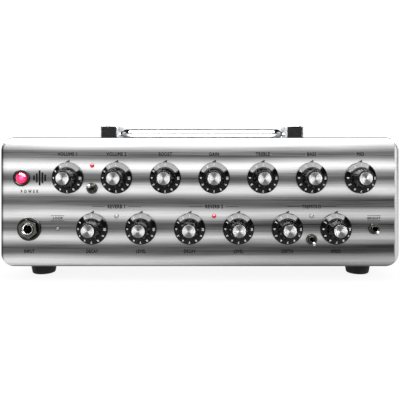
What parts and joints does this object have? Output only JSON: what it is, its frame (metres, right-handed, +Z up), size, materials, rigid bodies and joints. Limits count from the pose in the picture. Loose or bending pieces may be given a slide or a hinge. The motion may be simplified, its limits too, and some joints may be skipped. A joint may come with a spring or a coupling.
{
  "type": "guitar amp head",
  "caption": "Compact brushed-metal amp head with skirted rotary knobs, toggle switches, a jack and pilot lamp on the face, rubber feet and a folding bail handle.",
  "frame": {"origin": "centre of the bounding box's footprint, on the plane the feet stand on", "axes": "+X to the viewer's right along the face, -Y out of the face, +Z up"},
  "size_m": [0.33, 0.198, 0.1329],
  "materials": {
    "front_panel": "brushed aluminium face plate, fine grain along X, rolled edges",
    "sleeve": "satin extruded aluminium",
    "chrome": "polished chrome plate",
    "steel": "zinc-plated steel sheet",
    "knob": "gloss black with a spun aluminium inlay and white numbers",
    "black_gloss": "gloss black",
    "black_matt": "matt black",
    "rubber": "moulded black rubber",
    "pilot_lens": "faceted red jewel, lit",
    "red_lamp": "red indicator lamp, lit",
    "clear_lamp": "water-clear indicator lamp, unlit",
    "circuit_board": "green solder mask, parts soldered on",
    "winding": "amber tape over copper winding on a steel core",
    "heat_sink": "black anodised extrusion"
  },
  "bodies": {
    "case": {"front_panel": "front_panel", "case_sleeve": "sleeve", "rear_panel": "sleeve", "chassis_tray": "steel", "handle_block_left": "chrome", "handle_block_right": "chrome", "handle_cap_left": "black_matt", "handle_cap_right": "black_matt", "pilot_lens": "pilot_lens", "pilot_bezel": "black_gloss", "input_jack": "black_matt", "input_jack_collar": "black_gloss", "input_jack_nut": "chrome", "upper_control_board": "circuit_board", "lower_control_board": "circuit_board", "main_board": "circuit_board", "toroidal_transformer": "winding", "transformer_clamp": "steel", "heat_sink": "heat_sink", "mains_inlet": "black_matt", "power_switch_frame": "black_matt", "fuse_holder": "black_matt", "speaker_jack_1": "black_matt", "speaker_jack_2": "black_matt", "loop_return_jack": "black_matt", "loop_send_jack": "black_matt", "footswitch_jack": "black_matt", "foot_front_left": "rubber", "foot_front_right": "rubber", "foot_rear_left": "rubber", "foot_rear_right": "rubber", "channel_lamp": "red_lamp", "reverb_1_lamp": "clear_lamp", "reverb_2_lamp": "red_lamp", "tremolo_lamp": "clear_lamp", "loop_lamp": "clear_lamp", "channel_toggle_body": "steel", "channel_toggle_nut": "chrome", "tremolo_toggle_body": "steel", "tremolo_toggle_nut": "chrome", "bright_toggle_body": "steel", "bright_toggle_nut": "chrome"},
    "knob_rhythm_volume": {"knob_rhythm_volume": "knob"},
    "knob_lead_volume": {"knob_lead_volume": "knob"},
    "knob_boost": {"knob_boost": "knob"},
    "knob_gain": {"knob_gain": "knob"},
    "knob_treble": {"knob_treble": "knob"},
    "knob_bass": {"knob_bass": "knob"},
    "knob_middle": {"knob_middle": "knob"},
    "knob_reverb_1_decay": {"knob_reverb_1_decay": "knob"},
    "knob_reverb_1_level": {"knob_reverb_1_level": "knob"},
    "knob_reverb_2_decay": {"knob_reverb_2_decay": "knob"},
    "knob_reverb_2_level": {"knob_reverb_2_level": "knob"},
    "knob_depth": {"knob_depth": "knob"},
    "knob_speed": {"knob_speed": "knob"},
    "channel_toggle_lever": {"channel_toggle_lever": "chrome"},
    "tremolo_toggle_lever": {"tremolo_toggle_lever": "chrome"},
    "bright_toggle_lever": {"bright_toggle_lever": "chrome"},
    "power_rocker": {"power_rocker": "black_gloss"},
    "handle_bail": {"handle_bail": "chrome"}
  },
  "joints": [
    {"name": "rhythm_volume_turn", "type": "hinge", "parent": "case", "child": "knob_rhythm_volume", "pos_m": [-0.10905, -0.084, 0.0845], "axis": [0, 1, 0], "range_deg": [-15, 285]},
    {"name": "lead_volume_turn", "type": "hinge", "parent": "case", "child": "knob_lead_volume", "pos_m": [-0.0688, -0.084, 0.0845], "axis": [0, 1, 0], "range_deg": [-15, 285]},
    {"name": "boost_turn", "type": "hinge", "parent": "case", "child": "knob_boost", "pos_m": [-0.02855, -0.084, 0.0845], "axis": [0, 1, 0], "range_deg": [-15, 285]},
    {"name": "gain_turn", "type": "hinge", "parent": "case", "child": "knob_gain", "pos_m": [0.0117, -0.084, 0.0845], "axis": [0, 1, 0], "range_deg": [-15, 285]},
    {"name": "treble_turn", "type": "hinge", "parent": "case", "child": "knob_treble", "pos_m": [0.05195, -0.084, 0.0845], "axis": [0, 1, 0], "range_deg": [-15, 285]},
    {"name": "bass_turn", "type": "hinge", "parent": "case", "child": "knob_bass", "pos_m": [0.0922, -0.084, 0.0845], "axis": [0, 1, 0], "range_deg": [-15, 285]},
    {"name": "middle_turn", "type": "hinge", "parent": "case", "child": "knob_middle", "pos_m": [0.13245, -0.084, 0.0845], "axis": [0, 1, 0], "range_deg": [-15, 285]},
    {"name": "reverb_1_decay_turn", "type": "hinge", "parent": "case", "child": "knob_reverb_1_decay", "pos_m": [-0.08893, -0.084, 0.0425], "axis": [0, 1, 0], "range_deg": [-15, 285]},
    {"name": "reverb_1_level_turn", "type": "hinge", "parent": "case", "child": "knob_reverb_1_level", "pos_m": [-0.04868, -0.084, 0.0425], "axis": [0, 1, 0], "range_deg": [-15, 285]},
    {"name": "reverb_2_decay_turn", "type": "hinge", "parent": "case", "child": "knob_reverb_2_decay", "pos_m": [-0.00843, -0.084, 0.0425], "axis": [0, 1, 0], "range_deg": [-15, 285]},
    {"name": "reverb_2_level_turn", "type": "hinge", "parent": "case", "child": "knob_reverb_2_level", "pos_m": [0.03182, -0.084, 0.0425], "axis": [0, 1, 0], "range_deg": [-15, 285]},
    {"name": "depth_turn", "type": "hinge", "parent": "case", "child": "knob_depth", "pos_m": [0.07208, -0.084, 0.0425], "axis": [0, 1, 0], "range_deg": [-15, 285]},
    {"name": "speed_turn", "type": "hinge", "parent": "case", "child": "knob_speed", "pos_m": [0.11232, -0.084, 0.0425], "axis": [0, 1, 0], "range_deg": [-15, 285]},
    {"name": "channel_toggle_flip", "type": "hinge", "parent": "case", "child": "channel_toggle_lever", "pos_m": [-0.08893, -0.0838, 0.0759], "axis": [1, 0, 0], "range_deg": [0, 24]},
    {"name": "tremolo_toggle_flip", "type": "hinge", "parent": "case", "child": "tremolo_toggle_lever", "pos_m": [0.0922, -0.0838, 0.0337], "axis": [1, 0, 0], "range_deg": [-24, 0]},
    {"name": "bright_toggle_flip", "type": "hinge", "parent": "case", "child": "bright_toggle_lever", "pos_m": [0.1436, -0.0838, 0.0425], "axis": [1, 0, 0], "range_deg": [-24, 0]},
    {"name": "power_rock", "type": "hinge", "parent": "case", "child": "power_rocker", "pos_m": [0.088, 0.0925, 0.062], "axis": [1, 0, 0], "range_deg": [0, 18]},
    {"name": "handle_fold", "type": "hinge", "parent": "case", "child": "handle_bail", "pos_m": [0, 0.006, 0.124], "axis": [-1, 0, 0], "range_deg": [0, 90]}
  ]
}
